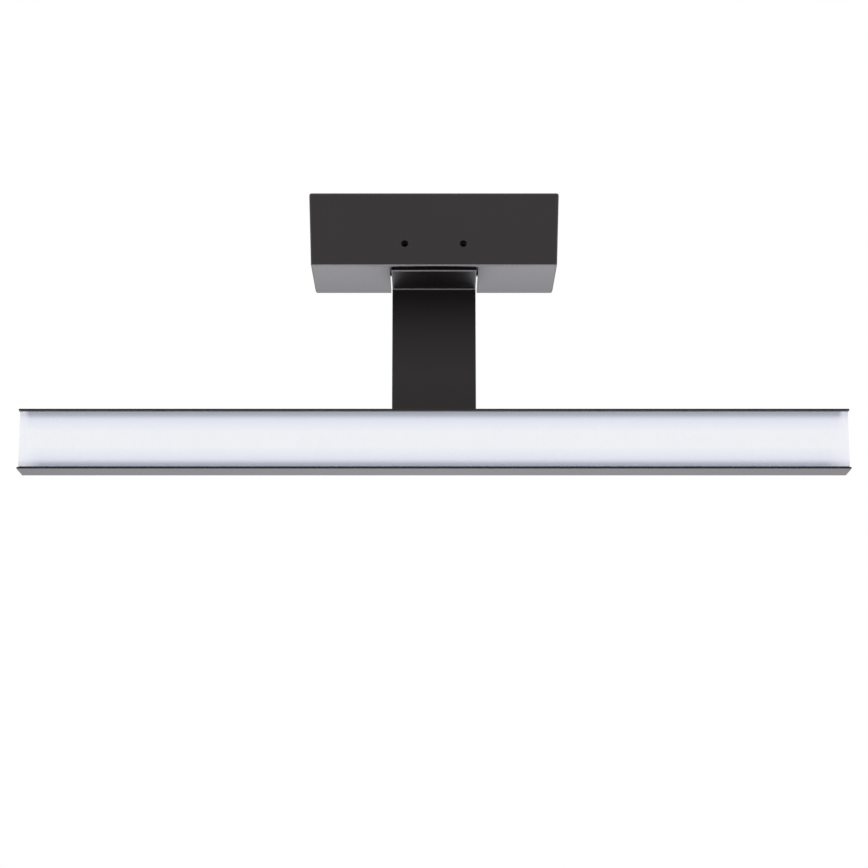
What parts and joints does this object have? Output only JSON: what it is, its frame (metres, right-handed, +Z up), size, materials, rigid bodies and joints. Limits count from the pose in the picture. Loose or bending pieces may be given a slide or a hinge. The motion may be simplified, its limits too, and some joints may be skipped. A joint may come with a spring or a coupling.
{
  "type": "picture light",
  "caption": "Wall-mounted LED picture light: a long opal-fronted bar that tilts on a bent strap arm below a rectangular driver canopy.",
  "frame": {"origin": "middle of the wall-screw pattern on the bracket's back face, which lies in the wall plane", "axes": "+X along the bar, to the right as seen from the room; +Y into the wall; +Z up; the diffuser faces -Y at rest"},
  "size_m": [0.4, 0.051, 0.1397],
  "materials": {
    "black_metal": "satin black powder coat",
    "dark_steel": "black electro-coat",
    "screw_steel": "bright zinc",
    "black_screw": "black oxide",
    "aluminium": "satin",
    "opal": "opal acrylic, satin",
    "board": "white solder mask",
    "chip": "yellow phosphor in a white frame",
    "tape": "soft thermal pad",
    "rubber": "matt",
    "nylon_white": "natural nylon",
    "nylon_black": "matt",
    "case_plastic": "fine texture",
    "green_board": "green solder mask",
    "transformer": "tape-wrapped ferrite",
    "capacitor": "sleeved can",
    "brass": "plain",
    "tin": "tinned copper",
    "wire_brown": "plain",
    "wire_blue": "plain",
    "wire_earth": "green with a yellow stripe",
    "cable": "smooth sheath"
  },
  "bodies": {
    "mount": {"canopy_cover": "black_metal", "arm_strap": "black_metal", "arm_press_nuts": "screw_steel", "arm_set_screws": "black_screw", "cover_screws": "screw_steel", "wall_bracket": "dark_steel", "entry_grommet": "rubber", "shelf_grommet": "rubber", "earth_lug": "tin", "earth_washer": "screw_steel", "earth_screw": "brass", "earth_nut": "screw_steel", "driver_case": "case_plastic", "driver_lid": "case_plastic", "driver_board": "green_board", "driver_transformer": "transformer", "driver_capacitors": "capacitor", "driver_screws": "screw_steel", "terminal_block": "nylon_black", "terminal_sleeves": "brass", "terminal_screws": "screw_steel", "block_screws": "screw_steel", "live_wire": "wire_brown", "neutral_wire": "wire_blue", "earth_wire": "wire_earth", "output_cable": "cable", "arm_grommet": "rubber", "cable_clips": "nylon_black", "hinge_yoke": "black_metal", "yoke_screws": "black_screw", "yoke_nuts": "screw_steel", "hinge_bolt": "black_screw", "spring_washer": "screw_steel", "hinge_nut": "screw_steel", "friction_washers": "nylon_white"},
    "head": {"hinge_lug": "aluminium", "lug_screws": "screw_steel", "channel_body": "black_metal", "thermal_tape": "tape", "led_board": "board", "led_chips": "chip", "diffuser": "opal", "end_cap_left": "opal", "end_cap_right": "opal", "head_grommet": "rubber", "head_cable": "cable"}
  },
  "joints": [
    {"name": "head_tilt", "type": "hinge", "parent": "mount", "child": "head", "pos_m": [0, -0.029, -0.1061], "axis": [1, 0, 0], "range_deg": [-30, 90]}
  ]
}
